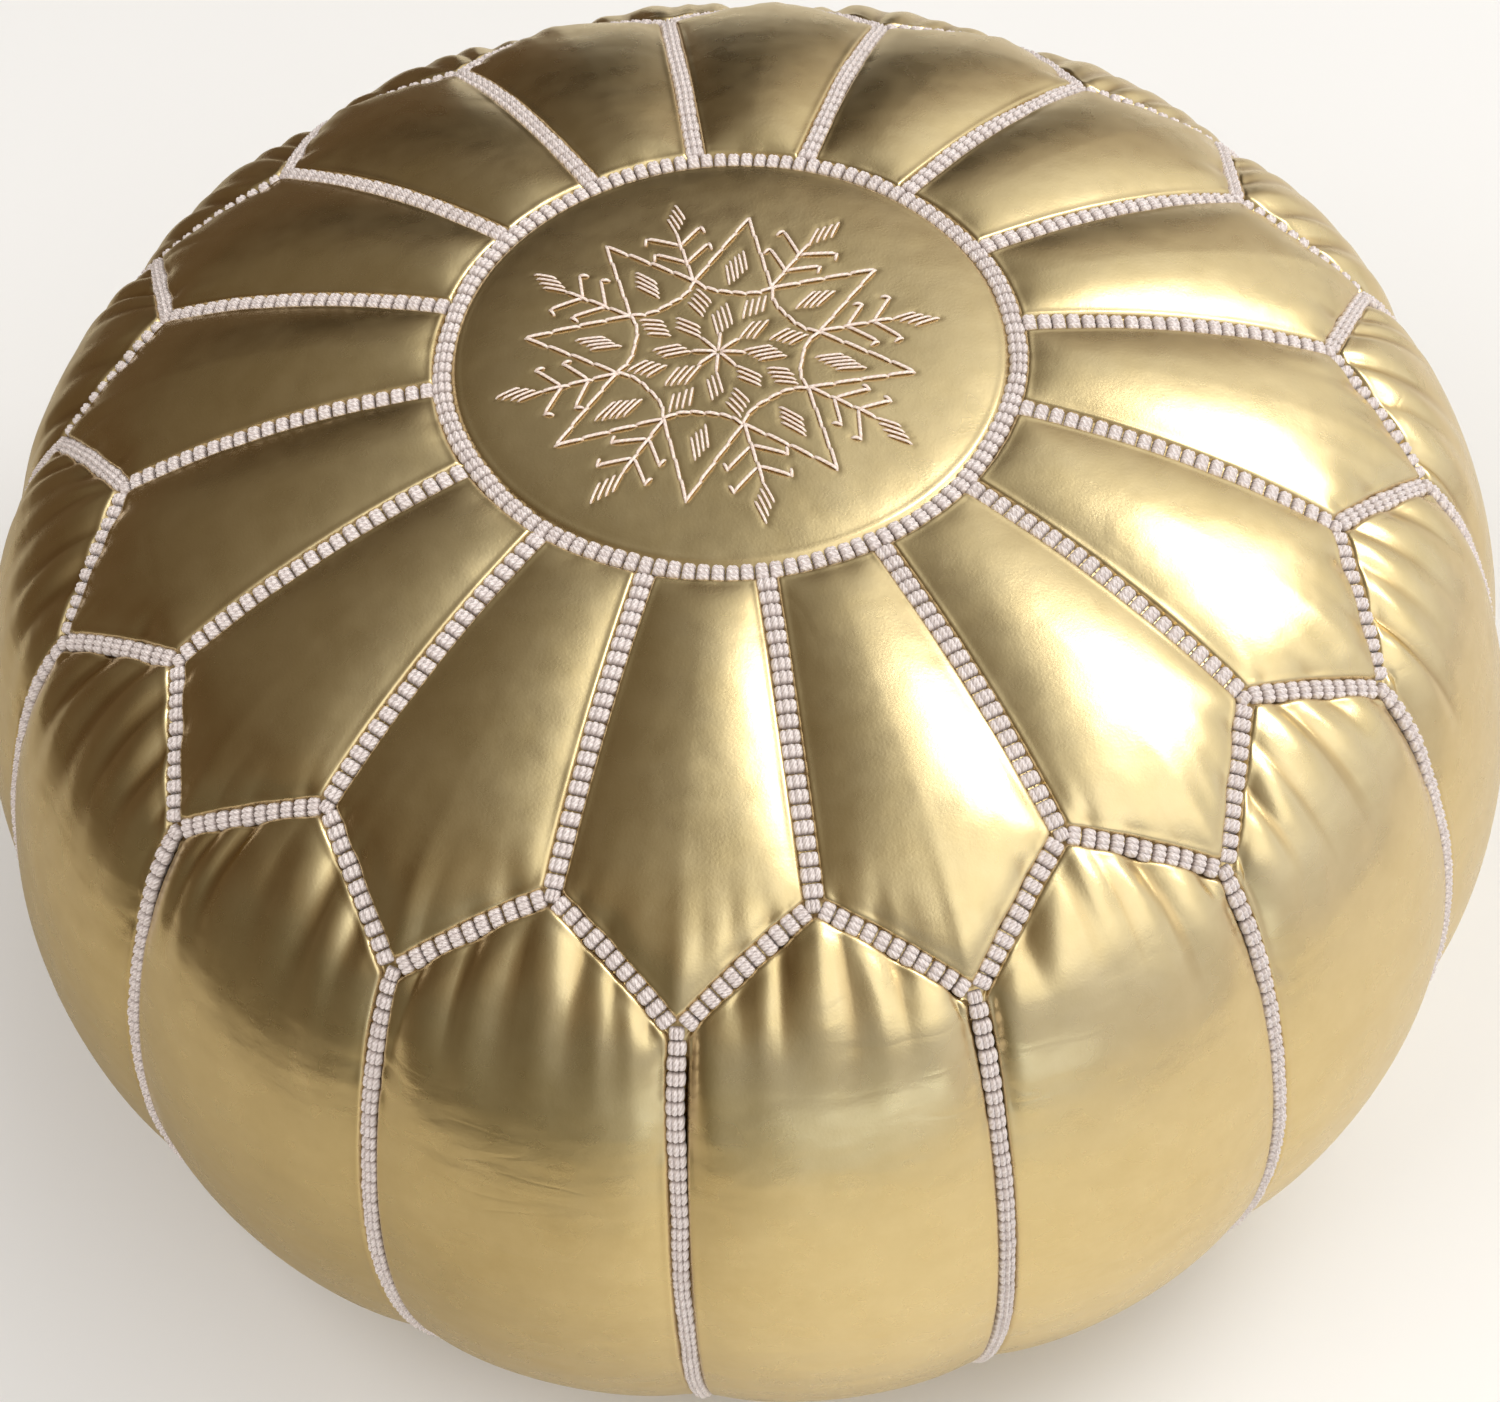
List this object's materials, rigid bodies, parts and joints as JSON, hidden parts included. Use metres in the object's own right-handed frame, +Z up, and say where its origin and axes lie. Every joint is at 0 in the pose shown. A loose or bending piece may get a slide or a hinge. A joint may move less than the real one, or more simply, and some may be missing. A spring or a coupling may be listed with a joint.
{
  "type": "moroccan leather pouf",
  "caption": "Round stuffed pouf in metallic gold leather, with an embroidered top medallion, pointed petals, tall side panels, braided seam cords and a zipped base.",
  "frame": {"origin": "centre of the base, on the surface that the pouf stands on", "axes": "+Z up; +X along the base zip, towards its closed end; petal seams lie at multiples of 22.5 degrees from +X"},
  "size_m": [0.5296, 0.5296, 0.3223],
  "materials": {
    "gold_leather": "metallic gold foil over fine grain, satin sheen",
    "seam_cord": "pale two-ply braided thread, matte",
    "embroidery_thread": "pale cream-pink thread, slight sheen",
    "zip_tape": "woven tape, matte",
    "zip_metal": "polished brass, light wear",
    "stuffing": "cotton stuffing, matte"
  },
  "bodies": {
    "pouf": {"top_medallion": "gold_leather", "petal_01": "gold_leather", "petal_02": "gold_leather", "petal_03": "gold_leather", "petal_04": "gold_leather", "petal_05": "gold_leather", "petal_06": "gold_leather", "petal_07": "gold_leather", "petal_08": "gold_leather", "petal_09": "gold_leather", "petal_10": "gold_leather", "petal_11": "gold_leather", "petal_12": "gold_leather", "petal_13": "gold_leather", "petal_14": "gold_leather", "petal_15": "gold_leather", "petal_16": "gold_leather", "side_panel_01": "gold_leather", "side_panel_02": "gold_leather", "side_panel_03": "gold_leather", "side_panel_04": "gold_leather", "side_panel_05": "gold_leather", "side_panel_06": "gold_leather", "side_panel_07": "gold_leather", "side_panel_08": "gold_leather", "side_panel_09": "gold_leather", "side_panel_10": "gold_leather", "side_panel_11": "gold_leather", "side_panel_12": "gold_leather", "side_panel_13": "gold_leather", "side_panel_14": "gold_leather", "side_panel_15": "gold_leather", "side_panel_16": "gold_leather", "base_left": "gold_leather", "base_right": "gold_leather", "zip_end_tab_front": "gold_leather", "zip_end_tab_rear": "gold_leather", "medallion_ring_cord": "seam_cord", "petal_seam_cords": "seam_cord", "zigzag_cord": "seam_cord", "side_seam_cords": "seam_cord", "base_seam_cord": "seam_cord", "star_embroidery": "embroidery_thread", "filling": "stuffing", "zip_tape_left": "zip_tape", "zip_tape_right": "zip_tape", "zip_teeth_left": "zip_metal", "zip_teeth_right": "zip_metal", "zip_top_stops": "zip_metal", "zip_bottom_stop": "zip_metal"},
    "zip_slider": {"zip_slider": "zip_metal"},
    "zip_pull": {"zip_pull": "zip_metal"}
  },
  "joints": [
    {"name": "zip_slide", "type": "slide", "parent": "pouf", "child": "zip_slider", "axis": [-1, 0, 0], "range_m": [0, 0.262], "deforming": ["zip_teeth_left", "zip_teeth_right"]},
    {"name": "zip_pull_swing", "type": "hinge", "parent": "zip_slider", "child": "zip_pull", "pos_m": [0.139, 0, 0.004], "axis": [0, -1, 0], "range_deg": [0, 120]}
  ]
}
